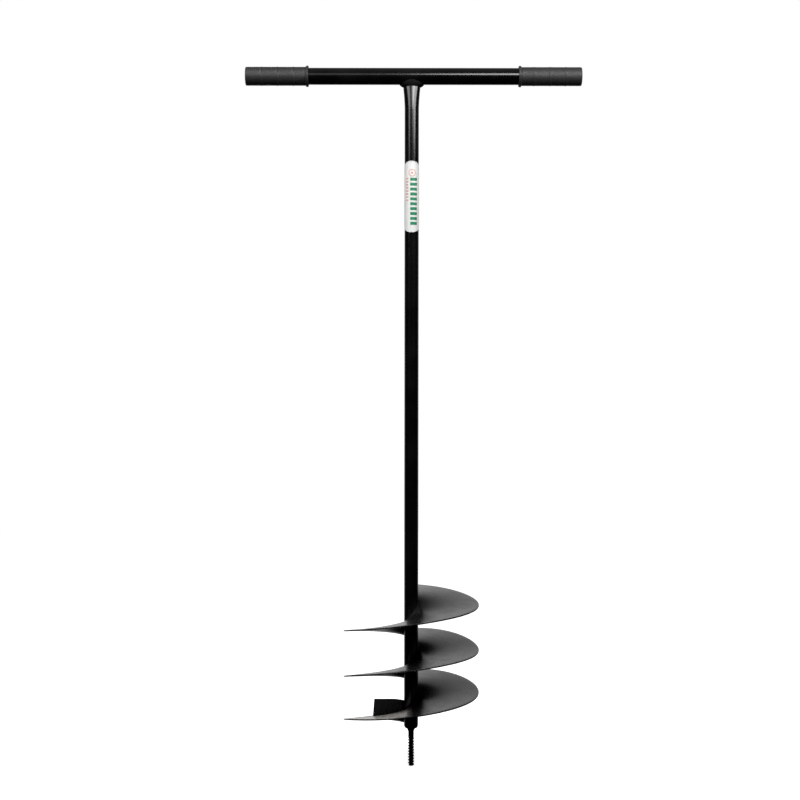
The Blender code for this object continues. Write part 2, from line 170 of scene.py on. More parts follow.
# Flights, as in the design: plates whose root and rim start and end at these heights. The rim leaves the
# helix by a tilt, a saddle and a small wave, given as heights with the angles of their high points.
FLIGHT_RADIUS = 0.100
FLIGHT_ROOT = SHAFT_RADIUS - FLIGHT_SINK
FLIGHT_THICKNESS = 0.002
FLIGHT_EDGE_ROUND = 0.0004
FLIGHT_STEPS = 300
PLATE_SPACING = (0.0, 0.02, 0.05, 0.09, 0.14, 0.20, 0.28, 0.37, 0.47, 0.58, 0.69, 0.79, 0.88, 0.94)
RIM_WIDTH = 0.0003
SEAM_ANGLE = math.radians(90)
LOWER_START = 0.085
SEAM_HEIGHTS = (0.0561, 0.1228, 0.1854, 0.2539)
FLIGHTS = {
    "lower": {
        "root": SEAM_HEIGHTS[0:2],
        "rim": (0.0563, 0.1240),
        "tilt": 0.0049,
        "saddle": (0.0030, math.radians(57)),
        "wave": 0.0011,
    },
    "middle": {
        "root": SEAM_HEIGHTS[1:3],
        "rim": (0.1221, 0.1859),
        "tilt": 0.0055,
        "saddle": (0.0035, math.radians(66)),
        "wave": 0.0013,
    },
    "upper": {
        "root": SEAM_HEIGHTS[2:4],
        "rim": (0.1855, 0.2543),
        "tilt": 0.0030,
        "saddle": (0.0017, math.radians(75)),
        "wave": 0.0006,
    },
}
TILT_AT = math.radians(-18)
WAVE_AT = math.radians(-48)

# The lowest flight's painted sheen, a lighter film given as angles around the shaft, and the dents that the
# press left in all the plates.
SHEEN_MIDDLE = math.radians(212)
SHEEN_HALF_WIDTH = math.radians(60)
SHEEN_FADE = math.radians(24)
DENT_HEIGHT = 0.00003
DENT_SCALE = 38.0
DENT_FADE = 0.02

# Breaker blade.
BLADE_THICKNESS = 0.003
BLADE_REACH_TOP = 0.0545
BLADE_REACH_BOTTOM = 0.0565
BLADE_COPE = 0.006
BLADE_TOP_DROP = 0.0018
BLADE_DROP_LENGTH = 0.014
BLADE_COLUMNS = 40
BLADE_EDGE_ROUND = 0.00045
BLADE_WELD_TOP = 0.0962

# End plug and pilot screw. The thread's width and flank are shares of its pitch, and it fades out at its top
# over a share of a turn.
PLUG_NOSE_RADIUS = 0.0062
PLUG_SHOULDER = 0.0011
PLUG_SPIGOT_GAP = 0.0003
PILOT_SHANK_RADIUS = 0.0042
PILOT_CREST_RADIUS = 0.0047
PILOT_ROOT_RADIUS = 0.0033
PILOT_PITCH = 0.0042
PILOT_ROWS_PER_PITCH = 20
PILOT_AROUND = 48
PILOT_RUNOUT = 0.6
PILOT_SHANK_STEP = 0.001
THREAD_WIDTH = 0.62
THREAD_FLANK = 0.36
CREST_WEAR_DEPTH = 0.0001
PILOT_THREAD_TOP = 0.0415
PILOT_END_RADIUS = 0.0030
PILOT_CHAMFER = 0.0012
PILOT_WELD_OUTLINE = ((0.0, 0.0), (1.0, 0.0), (0.80, 0.18), (0.50, 0.45), (0.22, 0.78), (0.0, 1.0))

# Colours of the black enamel, and of what shows in it or lies on it.
GLOSS_TONE = (0.0010, 0.0010, 0.0011)
SATIN_TONE = (0.0018, 0.0018, 0.0019)
SPECK_TONE = (0.10, 0.097, 0.090)
CHIP_TONE = (0.20, 0.19, 0.18)
# A painted sheen: a lighter film laid on the lowest flight's front left.
SHEEN_TONE = (0.31, 0.29, 0.27)

# The camera stands level but for a slight roll, a little to the left of the shaft.
CAMERA_PLACE = (-0.0169, -2.217, 0.540)
CAMERA_ROLL = math.radians(-0.07)
CAMERA_LENS = 67.5
CAMERA_SENSOR = 36.0

# Studio: the softboxes' aim, the glow of the wall and the ceiling, where they fade, and the floor.
SOFTBOX_AIM = (0, 0, 0.95)
OVERHEAD_GLOW = 0.15
WALL_GLOW = 0.85
WALL_EDGE = -0.2
WALL_POWER = 4.0
WALL_FOOT = 0.12
CEILING_POWER = 2.0
HORIZON_FADE = (-0.62, -0.28)
FLOOR_RADIUS = 4.0
FLOOR_DROP = 0.0006
FLOOR_TONE = 0.80
FLOOR_GLOW = 0.9


# ---------------------------------------------------------------- meshes


def put_piece(name, mesh, material, replaced):
    """Links a finished mesh as a visible piece that rides on the tool's one body."""
    mesh.materials.append(material)
    mesh.shade_smooth()
    mesh.set_sharp_from_angle(angle=SHARP_ANGLE)
    piece = bpy.data.objects.new(name, mesh)
    bpy.context.scene.collection.objects.link(piece)
    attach(piece, BODY)
    if replaced:
        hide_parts(*replaced)
    return piece


def signed_volume(mesh):
    """Positive when a closed mesh's faces point out."""
    total = 0.0
    for face in mesh.polygons:
        corners = [mesh.vertices[i].co for i in face.vertices]
        for i in range(1, len(corners) - 1):
            total += corners[0].dot(corners[i].cross(corners[i + 1]))
    return total


def lofted(name, rings, material, replaced=(), closed_path=False, wear_and_sheen=None):
    """A solid through rings of equally many points. Its last argument says where knocks show and where a
    painted sheen lies, from 0 to 1.
    """
    count = len(rings[0])
    points = [point for ring in rings for point in ring]
    faces = []
    spans = len(rings) if closed_path else len(rings) - 1
    for ring in range(spans):
        here = ring * count
        there = (ring + 1) % len(rings) * count
        for i in range(count):
            j = (i + 1) % count
            faces.append((here + i, here + j, there + j, there + i))
    if not closed_path:
        faces.append(tuple(reversed(range(count))))
        faces.append(tuple(range(len(points) - count, len(points))))
    mesh = bpy.data.meshes.new(name)
    mesh.from_pydata(points, [], faces)
    if signed_volume(mesh) < 0:
        mesh.flip_normals()
    layer = mesh.attributes.new("wear_and_sheen", "FLOAT", "POINT")
    values = [value for ring in wear_and_sheen for value in ring] if wear_and_sheen else [0.0] * len(points)
    layer.data.foreach_set("value", values)
    return put_piece(name, mesh, material, replaced)


def turned_rings(profile, steps, place):
    """Rings of a closed (radius, height) profile turned about an axis. place puts (radius, height, angle)."""
    rings = []
    for i in range(steps):
        angle = FULL_TURN * i / steps
        rings.append([place(radius, height, angle) for radius, height in profile])
    return rings


def about_z(radius, height, angle):
    return (radius * math.cos(angle), radius * math.sin(angle), height)


def about_bar(radius, along, angle):
    return (along, radius * math.cos(angle), BAR_HEIGHT + radius * math.sin(angle))


def arc_points(centre, radius, start, end, steps):
    """Points on an arc in a profile's plane, with angles in degrees from the radius axis."""
    points = []
    for i in range(steps + 1):
        angle = math.radians(start + (end - start) * i / steps)
        points.append((centre[0] + radius * math.cos(angle), centre[1] + radius * math.sin(angle)))
    return points


def uneven(point, scale):
    """Smooth noise from -1 to 1, the same at the same place each run."""
    return noise.noise(Vector(point) * scale)


def ripple(distance, seed):
    """A bead's swell along its length: rounded steps of the torch, with some unevenness."""
    wave = abs(math.sin(math.pi * distance / RIPPLE_PITCH))
    drift = uneven((distance, seed, 0.0), RIPPLE_DRIFT_SCALE)
    return 1.0 + RIPPLE_DEPTH * (wave - 0.5) + RIPPLE_DRIFT * drift


# ------------------------------------------------------------- materials


class Recipe:
    """A Principled material under construction, with short calls for the nodes that all the finishes use."""

    def __init__(self, name):
        self.material = bpy.data.materials.new(name)
        self.material.use_nodes = True
        self.tree = self.material.node_tree
        self.shader = self.tree.nodes["Principled BSDF"]
        self.place = self.node("ShaderNodeTexCoord").outputs["Object"]

    def node(self, kind, **settings):
        made = self.tree.nodes.new(kind)
        for key, value in settings.items():
            setattr(made, key, value)
        return made

    def feed(self, value, socket):
        """Links an output to a socket, or sets the socket to a plain value."""
        if isinstance(value, bpy.types.NodeSocket):
            self.tree.links.new(value, socket)
        else:
            socket.default_value = value

    def noise(self, scale, detail=3.0, roughness=0.55, stretch=(1, 1, 1)):
        mapping = self.node("ShaderNodeMapping")
        mapping.inputs["Scale"].default_value = stretch
        self.feed(self.place, mapping.inputs["Vector"])
        texture = self.node("ShaderNodeTexNoise")
        self.feed(mapping.outputs["Vector"], texture.inputs["Vector"])
        self.feed(scale, texture.inputs["Scale"])
        self.feed(detail, texture.inputs["Detail"])
        self.feed(roughness, texture.inputs["Roughness"])
        return texture.outputs["Fac"]

    def ranged(self, value, low, high, to_low, to_high):
        """Maps a value's range onto another, and stops at its ends."""
        made = self.node("ShaderNodeMapRange", clamp=True, interpolation_type="SMOOTHSTEP")
        for socket, number in zip(made.inputs, (value, low, high, to_low, to_high)):
            self.feed(number, socket)
        return made.outputs["Result"]

    def maths(self, operation, first, second):
        made = self.node("ShaderNodeMath", operation=operation, use_clamp=True)
        self.feed(first, made.inputs[0])
        self.feed(second, made.inputs[1])
        return made.outputs["Value"]

    def blend(self, share, first, second):
        """A colour between two others."""
        made = self.node("ShaderNodeMix", data_type="RGBA")
        self.feed(share, made.inputs["Factor"])
        self.feed(first if isinstance(first, bpy.types.NodeSocket) else (*first, 1.0), made.inputs["A"])
        self.feed(second if isinstance(second, bpy.types.NodeSocket) else (*second, 1.0), made.inputs["B"])
        return made.outputs["Result"]

    def bump(self, height, strength, distance, under=None):
        made = self.node("ShaderNodeBump")
        self.feed(strength, made.inputs["Strength"])
        self.feed(distance, made.inputs["Distance"])
        self.feed(height, made.inputs["Height"])
        if under is not None:
            self.feed(under, made.inputs["Normal"])
        return made.outputs["Normal"]

    def wear_and_sheen(self):
        return self.node("ShaderNodeAttribute", attribute_name="wear_and_sheen").outputs["Fac"]

    def finish(self, **inputs):
        for key, value in inputs.items():
            socket = self.shader.inputs[key.replace("_", " ").title().replace("Ior", "IOR")]
            self.feed(value if not isinstance(value, tuple) else (*value, 1.0), socket)
        return self.material


def paint(name, colour, smooth, rough, peel, scuffs, gleam=0.5, sheen=0.0):
    """Black enamel: faint blotches, specks and orange peel, and scuffs and a lighter painted sheen where the
    wear layer is.
    """
    recipe = Recipe(name)
    blotches = recipe.ranged(recipe.noise(26.0), 0.35, 0.7, 0.0, 1.0)
    dusty = tuple(0.0015 + 1.6 * value for value in colour)
    base = recipe.blend(blotches, colour, dusty)
    specks = recipe.ranged(recipe.noise(1400.0, detail=1.0), 0.72, 0.80, 0.0, 0.06)
    base = recipe.blend(specks, base, SPECK_TONE)
    chips = recipe.ranged(recipe.noise(330.0, detail=4.0), 0.50, 0.62, 0.0, scuffs)
    worn = recipe.maths("MULTIPLY", chips, recipe.wear_and_sheen())
    base = recipe.blend(worn, base, CHIP_TONE)
    # A lighter film of painted sheen, where the wear layer marks it.
    painted_sheen = recipe.ranged(recipe.noise(45.0, detail=4.0), 0.25, 0.6, 0.6 * sheen, sheen)
    base = recipe.blend(recipe.maths("MULTIPLY", painted_sheen, recipe.wear_and_sheen()), base, SHEEN_TONE)
    streaks = recipe.noise(70.0, detail=5.0, stretch=(1.0, 1.0, 0.35))
    roughness = recipe.ranged(streaks, 0.3, 0.72, smooth, rough)
    skin = recipe.bump(recipe.noise(420.0, detail=2.0), peel, 0.00012)
    grain = recipe.bump(recipe.noise(2600.0, detail=2.0), peel * 0.6, 0.00002, under=skin)
    return recipe.finish(base_color=base, roughness=roughness, normal=grain, specular_ior_level=gleam)


def rubber(name):
    """Dark grey moulded rubber with a fine matte grain and a dusty bloom."""
    recipe = Recipe(name)
    bloom = recipe.ranged(recipe.noise(60.0, detail=3.0), 0.35, 0.72, 0.0, 1.0)
    base = recipe.blend(bloom, (0.0125, 0.0125, 0.013), (0.0145, 0.0145, 0.015))
    specks = recipe.ranged(recipe.noise(1700.0, detail=1.0), 0.70, 0.80, 0.0, 0.03)
    base = recipe.blend(specks, base, (0.08, 0.08, 0.077))
    roughness = recipe.ranged(recipe.noise(140.0, detail=3.0), 0.3, 0.7, 0.54, 0.58)
    grain = recipe.bump(recipe.noise(2200.0, detail=3.0), 0.05, 0.00002)
    return recipe.finish(base_color=base, roughness=roughness, normal=grain)


def sticker_paper(name):
    """White coated paper, a little mottled, with fine fibres and a greyer cut edge."""
    recipe = Recipe(name)
    mottle = recipe.ranged(recipe.noise(240.0, detail=4.0), 0.3, 0.7, 0.0, 1.0)
    base = recipe.blend(mottle, (0.68, 0.685, 0.675), (0.64, 0.645, 0.63))
    base = recipe.blend(recipe.maths("MULTIPLY", recipe.wear_and_sheen(), 0.45), base, (0.45, 0.45, 0.44))
    roughness = recipe.ranged(recipe.noise(500.0, detail=3.0), 0.3, 0.7, 0.30, 0.42)
    fibres = recipe.bump(recipe.noise(1500.0, detail=3.0, stretch=(1, 1, 0.3)), 0.12, 0.00003)
    return recipe.finish(base_color=base, roughness=roughness, normal=fibres)


def ink(name, colour):
    """Printed ink, thin enough that the paper's mottle shows."""
    recipe = Recipe(name)
    thin = recipe.ranged(recipe.noise(900.0, detail=4.0), 0.5, 0.75, 0.0, 0.2)
    pale = tuple(0.15 + 0.8 * value for value in colour)
    base = recipe.blend(thin, colour, pale)
    roughness = recipe.ranged(recipe.noise(500.0, detail=3.0), 0.3, 0.7, 0.30, 0.45)
    skin = recipe.bump(recipe.noise(1500.0, detail=2.0), 0.1, 0.00002)
    return recipe.finish(base_color=base, roughness=roughness, normal=skin)


GLOSS_BLACK = paint("gloss_black_enamel", GLOSS_TONE, 0.15, 0.18, peel=0.01, scuffs=0.2, gleam=0.6)
SATIN_BLACK = paint("satin_black_enamel", SATIN_TONE, 0.25, 0.31, peel=0.02, scuffs=0.2)
# The lowest flight's enamel, with a lighter film of painted sheen on its front left.
SHEENED_BLACK = paint("sheened_black_enamel", SATIN_TONE, 0.25, 0.31, peel=0.02, scuffs=0.2, sheen=1.0)
WELD_BLACK = paint("weld_black_enamel", GLOSS_TONE, 0.45, 0.6, peel=0.15, scuffs=0.1, gleam=0.08)
GRIP_RUBBER = rubber("grip_rubber")
STICKER = sticker_paper("sticker_paper")
GREEN_INK = ink("green_ink", (0.002, 0.185, 0.078))
ORANGE_INK = ink("orange_ink", (0.60, 0.22, 0.17))


# ---------------------------------------------------------------- handle


def make_crossbar():
    """The bar's tube, from inside one grip to inside the other."""
    profile = [
        (BAR_RADIUS, BAR_HIGH.x),
        (BAR_RADIUS, BAR_LOW.x),
        (BAR_RADIUS - TUBE_WALL, BAR_LOW.x),
        (BAR_RADIUS - TUBE_WALL, BAR_HIGH.x),
    ]
    rings = turned_rings(profile, TUBE_STEPS, about_bar)
    lofted("crossbar", rings, GLOSS_BLACK, ["crossbar_tube"], closed_path=True)


def grip_outline(length):
    """The sleeve's outer side from its end face, at height length, down to its collar at height 0."""
    corner = (GRIP_RADIUS - GRIP_EDGE_ROUND, length - GRIP_EDGE_ROUND)
    outline = arc_points(corner, GRIP_EDGE_ROUND, 90, 0, 8)
    spacing = GRIP_RING_PITCH / GROOVES_PER_RING
    last = int((length - GRIP_COLLAR_LENGTH - GRIP_PLAIN_LENGTH) / spacing)
    for i in range(1, last + 1):
        middle = length - i * spacing
        if i % GROOVES_PER_RING == 0 and i // GROOVES_PER_RING <= GRIP_RING_COUNT:
            depth, width = -GRIP_RING_HEIGHT, GRIP_RING_WIDTH
        else:
            depth, width = GROOVE_DEPTH, GROOVE_WIDTH
        for share, fall in GROOVE_OUTLINE:
            outline.append((GRIP_RADIUS - depth * fall, middle + share * width))
    outline.append((GRIP_RADIUS, GRIP_COLLAR_LENGTH + GRIP_COLLAR_FLANK))
    rounding = GRIP_COLLAR_ROUND
    outline += arc_points((GRIP_COLLAR_RADIUS - rounding, GRIP_COLLAR_LENGTH - rounding), rounding, 90, 0, 5)
    outline += arc_points((GRIP_COLLAR_RADIUS - rounding, rounding), rounding, 0, -90, 5)
    return outline


def make_grips():
    for side, name in ((-1, "grip_left"), (1, "grip_right")):
        low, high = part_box(name)
        length = high.x - low.x
        collar_x = high.x if side < 0 else low.x
        outline = grip_outline(length)
        bore = BAR_RADIUS - GRIP_SQUEEZE
        bore_end = length - GRIP_END_WALL
        inside = [(bore, 0.0), (bore, bore_end), (AXIS_GAP, bore_end)]
        profile = [(AXIS_GAP, length)] + outline + inside

        def place(radius, height, angle, collar_x=collar_x, side=side):
            return about_bar(radius, collar_x + side * height, angle)

        rings = turned_rings(profile, TURNED_STEPS, place)
        lofted(f"{name}_sleeve", rings, GRIP_RUBBER, [name], closed_path=True)


# ----------------------------------------------------------------- shaft


def bar_underside(y, reach=BAR_RADIUS):
    """Height of the crossbar's lower surface at a distance from its axis."""
    return BAR_HEIGHT - math.sqrt(max(0.0, reach * reach - y * y))


def shaft_half_axes(height):
    """Outer half-width along X and half-depth along Y of the shaft, whose top end is wider and less deep."""
    below = BAR_HEIGHT - BAR_RADIUS - height
    share = min(1.0, max(0.0, 1.0 - below / FLARE_LENGTH)) ** FLARE_POWER
    return SHAFT_RADIUS + FLARE_EXTRA * share, SHAFT_RADIUS - FLARE_PINCH * share


def shaft_ring(height, inset, saddle=False):
    """Points around the tube at a height, or up under the crossbar where the end is saddle-cut."""
    wide, deep = shaft_half_axes(height)
    ring = []
    for i in range(TUBE_STEPS):
        angle = FULL_TURN * i / TUBE_STEPS
        x = (wide - inset) * math.cos(angle)
        y = (deep - inset) * math.sin(angle)
        ring.append((x, y, bar_underside(y) + SADDLE_SINK if saddle else height))
    return ring


def make_shaft():
    """The tube's outer rings run down from the saddle-cut end, and its inner rings run back up."""
    top = BAR_HEIGHT - BAR_RADIUS
    first = top - SADDLE_DROP
    levels = [first - (FLARE_LENGTH + FLARE_RUNOUT) * i / FLARE_RINGS for i in range(FLARE_RINGS + 1)]
    rings = [shaft_ring(top, 0.0, saddle=True)]
    rings += [shaft_ring(level, 0.0) for level in levels]
    rings += [shaft_ring(SHAFT_BOTTOM, 0.0), shaft_ring(SHAFT_BOTTOM, TUBE_WALL)]
    rings += [shaft_ring(level, TUBE_WALL) for level in reversed(levels)]
    rings.append(shaft_ring(top, TUBE_WALL, saddle=True))
    lofted("shaft", rings, GLOSS_BLACK, ["shaft_tube"], closed_path=True)


def make_tee_weld():
    """A rippled fillet around the oval end, from the crossbar's underside down to the shaft."""
    top = BAR_HEIGHT - BAR_RADIUS
    low = top - TEE_WELD_DEPTH
    wide_top, deep_top = shaft_half_axes(top)
    wide_low, deep_low = shaft_half_axes(low)
    around = FULL_TURN * (wide_top + deep_top) / 2
    steps = int(around / RIPPLE_PITCH) * RIPPLE_SAMPLES
    rings = []
    for i in range(steps):
        angle = FULL_TURN * i / steps
        cos, sin = math.cos(angle), math.sin(angle)
        swell = ripple(around * i / steps, seed=1.0)
        wall_y = (deep_top - WELD_SINK) * sin
        toe_y = (deep_top + TEE_WELD_LEG_Y * swell) * sin
        toe_x = (wide_top + TEE_WELD_LEG_X * swell) * cos
        toe = Vector((toe_x, toe_y, bar_underside(toe_y, BAR_RADIUS - WELD_SINK)))
        wall_x = (wide_top - WELD_SINK) * cos
        wall_high = Vector((wall_x, wall_y, bar_underside(wall_y, BAR_RADIUS - WELD_SINK)))
        heel_x, heel_y = (wide_low - WELD_SINK) * cos, (deep_low - WELD_SINK) * sin
        heel = Vector((heel_x, heel_y, low - TEE_WELD_DEPTH * TEE_WELD_HEEL_SWELL * (swell - 1.0)))
        ring = [wall_high, heel]
        for share in (0.2, 0.4, 0.6, 0.8):
            point = heel.lerp(toe, share)
            bulge = TEE_WELD_BULGE * swell * math.sin(math.pi * share)
            point += Vector((cos, sin, -0.8)).normalized() * bulge
            ring.append(point)
        ring.append(toe)
        rings.append([tuple(point) for point in ring])
    lofted("tee_weld_bead", rings, WELD_BLACK, ["tee_weld"], closed_path=True)


# ----------------------------------------------------------------- label


def wrapped(arc, height, radius):
    """A point on the label's cylinder. arc is the distance along it from the front, towards +X."""
    angle = -math.pi / 2 + arc / LABEL_RADIUS
    return (radius * math.cos(angle), radius * math.sin(angle), height)


def make_label():
    """The paper strip, with its cut edge marked for a greyer tone."""
    middle = (LABEL_LOW.z + LABEL_HIGH.z) / 2
    half_length = (LABEL_HIGH.z - LABEL_LOW.z) / 2
    half_width = LABEL_RADIUS * LABEL_ARC / 2
    straight = half_length - half_width
    inner = SHAFT_RADIUS + LABEL_GLUE
    rings = []
    wear_and_sheen = []
    for i in range(LABEL_COLUMNS + 1):
        share = -math.cos(math.pi * i / LABEL_COLUMNS)
        arc = share * half_width
        rise = straight + half_width * math.sqrt(max(0.0, 1.0 - share * share))
        heights = [middle - rise + 2 * rise * j / LABEL_ROWS for j in range(LABEL_ROWS + 1)]
        outside = [wrapped(arc, height, LABEL_RADIUS) for height in heights]
        inside = [wrapped(arc, height, inner) for height in reversed(heights)]
        rings.append(outside + inside)
        rim = 1.0 if i in (0, LABEL_COLUMNS) else 0.0
        outer_wear = [1.0 if j in (0, LABEL_ROWS) else rim for j in range(LABEL_ROWS + 1)]
        wear_and_sheen.append(outer_wear + [1.0] * (LABEL_ROWS + 1))
    lofted("label_sheet", rings, STICKER, ["label"], wear_and_sheen=wear_and_sheen)


def print_patch(outline):
    """A thin raised patch on the label from an outline of (arc, height) pairs: its points and faces."""
    low_radius = LABEL_RADIUS - PRINT_SINK
    high_radius = LABEL_RADIUS + PRINT_THICKNESS
    count = len(outline)
    points = [wrapped(arc, height, high_radius) for arc, height in outline]
    points += [wrapped(arc, height, low_radius) for arc, height in outline]
    faces = [tuple(range(count)), tuple(reversed(range(count, 2 * count)))]
    for i in range(count):
        j = (i + 1) % count
        faces.append((j, i, i + count, j + count))
    return points, faces


def make_print(name, strips, material):
    """One piece of printed marks, each strip a run of short slices so that it follows the curve."""
    points = []
    faces = []
    for outline in strips:
        more_points, more_faces = print_patch(outline)
        offset = len(points)
        points += more_points
        faces += [tuple(index + offset for index in face) for face in more_faces]
    mesh = bpy.data.meshes.new(name)
    mesh.from_pydata(points, [], faces)
    if signed_volume(mesh) < 0:
        mesh.flip_normals()
    put_piece(name, mesh, material, [])


def ring_slices(arc, height, outer, inner, steps):
    """A printed ring as short four-sided slices."""
    slices = []
    for i in range(steps):
        start, end = (FULL_TURN * k / steps for k in (i, i + 1))
        corners = ((outer, start), (outer, end), (inner, end), (inner, start))
        slices.append([(arc + r * math.cos(a), height + r * math.sin(a)) for r, a in corners])
    return slices


def bar_slices(arc_low, arc_high, low, high, slices):
    """A printed bar as slices across the label's curve."""
    width = (arc_high - arc_low) / slices
    made = []
    for i in range(slices):
        left = arc_low + i * width
        made.append([(left, low), (left + width, low), (left + width, high), (left, high)])
    return made


def bar_column(arcs, top, count, pitch, thickness, slices):
    """Printed bars of one width, spaced evenly down from a height."""
    made = []
    for i in range(count):
        high = top - i * pitch
        made += bar_slices(*arcs, high - thickness, high, slices)
    return made


def make_label_print():
    """Generic marks: a column of green bars, a column of short orange dashes and an orange ring above."""
    green = bar_column(BAR_ARC, BAR_TOP, BAR_COUNT, BAR_PITCH, BAR_THICKNESS, slices=12)
    make_print("label_green_bars", green, GREEN_INK)
    orange = bar_column(DASH_ARC, DASH_TOP, DASH_COUNT, DASH_PITCH, DASH_THICKNESS, slices=4)
    make_print("label_orange_dashes", orange, ORANGE_INK)
    mark = ring_slices(*MARK_CENTRE, MARK_OUTER, MARK_INNER, 48)
    mark += ring_slices(*MARK_CENTRE, MARK_DOT, AXIS_GAP, 24)
    make_print("label_orange_ring", mark, ORANGE_INK)


# --------------------------------------------------------------- flights


def flight_lead(name):
    start, end = FLIGHTS[name]["rim"]
    return end - start


def flight_middle(name, angle, radius):
    """Height of a plate's middle surface. The angle grows from the seam at the back, where it starts."""
    plate = FLIGHTS[name]
    turn = (angle - SEAM_ANGLE) / FULL_TURN
    saddle, saddle_at = plate["saddle"]
    warp = plate["tilt"] * math.cos(angle - TILT_AT)
    warp += saddle * math.cos(2 * (angle - saddle_at))
    warp += plate["wave"] * math.cos(3 * (angle - WAVE_AT))
    root = plate["root"][0] + (plate["root"][1] - plate["root"][0]) * turn
    rim = plate["rim"][0] + flight_lead(name) * turn + warp
    return root + (rim - root) * radius / FLIGHT_RADIUS


def plate_half_height(name, radius):
    """Half of the plate's thickness, measured upright through its slope."""
    slope = flight_lead(name) / FULL_TURN / radius
    return FLIGHT_THICKNESS / 2 * math.hypot(1.0, slope)


def flight_surface(name, angle, radius, side):
    """Height of a plate's upper surface (side 1) or lower surface (side -1)."""
    return flight_middle(name, angle, radius) + side * plate_half_height(name, radius)


def flight_start(name):
    """The lowest flight starts a little late, where the tube's wall begins."""
    return SEAM_ANGLE + (LOWER_START * FULL_TURN if name == "lower" else 0.0)


def plate_section():
    """The plate's section as (radius, height in half thicknesses), out along the top and back underneath."""
    reach = FLIGHT_RADIUS - FLIGHT_EDGE_ROUND - FLIGHT_ROOT
    top = [(FLIGHT_ROOT + reach * share, 1.0) for share in PLATE_SPACING]
    corner = FLIGHT_EDGE_ROUND / (FLIGHT_THICKNESS / 2)
    edge = []
    for step in range(4):
        angle = math.radians(90 - 30 * step)
        radius = FLIGHT_RADIUS - FLIGHT_EDGE_ROUND + FLIGHT_EDGE_ROUND * math.cos(angle)
        edge.append((radius, 1.0 - corner + corner * math.sin(angle)))
    half = top + edge
    return half + [(radius, -height) for radius, height in reversed(half)]


def sheen_share(angle):
    """How much painted sheen lies on the lowest flight, as a lighter film over its front left around the
    blade.
    """
    return min(1.0, max(0.0, (SHEEN_HALF_WIDTH - abs(angle - SHEEN_MIDDLE)) / SHEEN_FADE))


def make_flight(name):
    """A warped helical plate with rounded cut edges, and faint unevenness from pressing."""
    start = flight_start(name)
    end = SEAM_ANGLE + FULL_TURN
    section = plate_section()
    rings = []
    wear_and_sheen = []
    for i in range(FLIGHT_STEPS + 1):
        angle = start + (end - start) * i / FLIGHT_STEPS
        cos, sin = math.cos(angle), math.sin(angle)
        ring = []
        exposure = []
        for radius, half in section:
            middle = flight_middle(name, angle, radius)
            x, y = radius * cos, radius * sin
            free = min(1.0, (radius - FLIGHT_ROOT) / DENT_FADE)
            dent = DENT_HEIGHT * uneven((x, y, middle), DENT_SCALE) * free
            ring.append((x, y, middle + half * plate_half_height(name, radius) + dent))
            on_rim = radius > FLIGHT_RADIUS - RIM_WIDTH
            # On the lowest flight the wear layer holds painted sheen: a lighter film on its front left.
            if name == "lower":
                exposure.append(0.0 if on_rim else sheen_share(angle))
            else:
                exposure.append(1.0 if on_rim else 0.0)
        rings.append(ring)
        wear_and_sheen.append(exposure)
    finish = SHEENED_BLACK if name == "lower" else SATIN_BLACK
    lofted(f"auger_flight_{name}", rings, finish, [f"flight_{name}"], wear_and_sheen=wear_and_sheen)


def make_root_weld(name, side):
    """A rippled fillet along the shaft above (side 1) or below (side -1) a flight."""
    trim = ROOT_WELD_TRIM * FULL_TURN
    start = flight_start(name) + trim
    if name == "lower" and side < 0:
        start = SEAM_ANGLE + UNDER_WELD_START * FULL_TURN
    end = SEAM_ANGLE + FULL_TURN - trim
    wall = SHAFT_RADIUS - WELD_SINK
    length = (end - start) * math.hypot(wall + ROOT_WELD_OUT / 2, flight_lead(name) / FULL_TURN)
    steps = int(length / RIPPLE_PITCH) * RIPPLE_SAMPLES
    rings = []
    for i in range(steps + 1):
        angle = start + (end - start) * i / steps
        cos, sin = math.cos(angle), math.sin(angle)
        swell = ripple(length * i / steps, seed=side * 3.0 + FLIGHTS[name]["root"][0] * 100)
        to_end = min(i, steps - i) / steps
        taper = min(1.0, ROOT_WELD_END_SIZE + ROOT_WELD_END_GROWTH * to_end)
        ring = []
        for out, up in ROOT_WELD_OUTLINE:
            radius = wall + out * (ROOT_WELD_OUT + WELD_SINK) * swell * taper
            rise = up * (ROOT_WELD_UP + WELD_SINK) * swell * taper - WELD_SINK
            ring.append((radius * cos, radius * sin, flight_surface(name, angle, radius, side) + side * rise))
        rings.append(ring)
    place = "top" if side > 0 else "under"
    node = f"root_weld_{name}_{place}"
    lofted(f"{node}_bead", rings, WELD_BLACK, [node])


def make_seam_weld(below, above):
    """A rippled bead across the seam where one flight ends and the next one up starts."""
    length = SEAM_WELD_OUTER - SEAM_WELD_INNER
    steps = int(length / RIPPLE_PITCH) * RIPPLE_SAMPLES
    rings = []
    for i in range(steps + 1):
        radius = SEAM_WELD_INNER + length * i / steps
        swell = ripple(length * i / steps, seed=7.0)
        crown = []
        foot = []
        for step in range(9):
            share = -1.0 + step / 4
            angle = SEAM_ANGLE + share * SEAM_WELD_HALF_WIDTH * swell / radius
            ending = flight_surface(below, angle + FULL_TURN, radius, 1)
            starting = flight_surface(above, angle, radius, 1)
            along = 0.5 + 0.5 * share
            height = ending * (1.0 - along) + starting * along
            rise = SEAM_WELD_HEIGHT * swell * math.sqrt(max(0.0, 1.0 - share * share))
            x, y = radius * math.cos(angle), radius * math.sin(angle)
            foot.append((x, y, height - 2 * WELD_SINK))
            crown.append((x, y, height + rise))
        rings.append(foot + crown[::-1])
    node = f"seam_weld_{below}_{above}"
    lofted(f"{node}_bead", rings, WELD_BLACK, [node])


# ----------------------------------------------------------------- blade


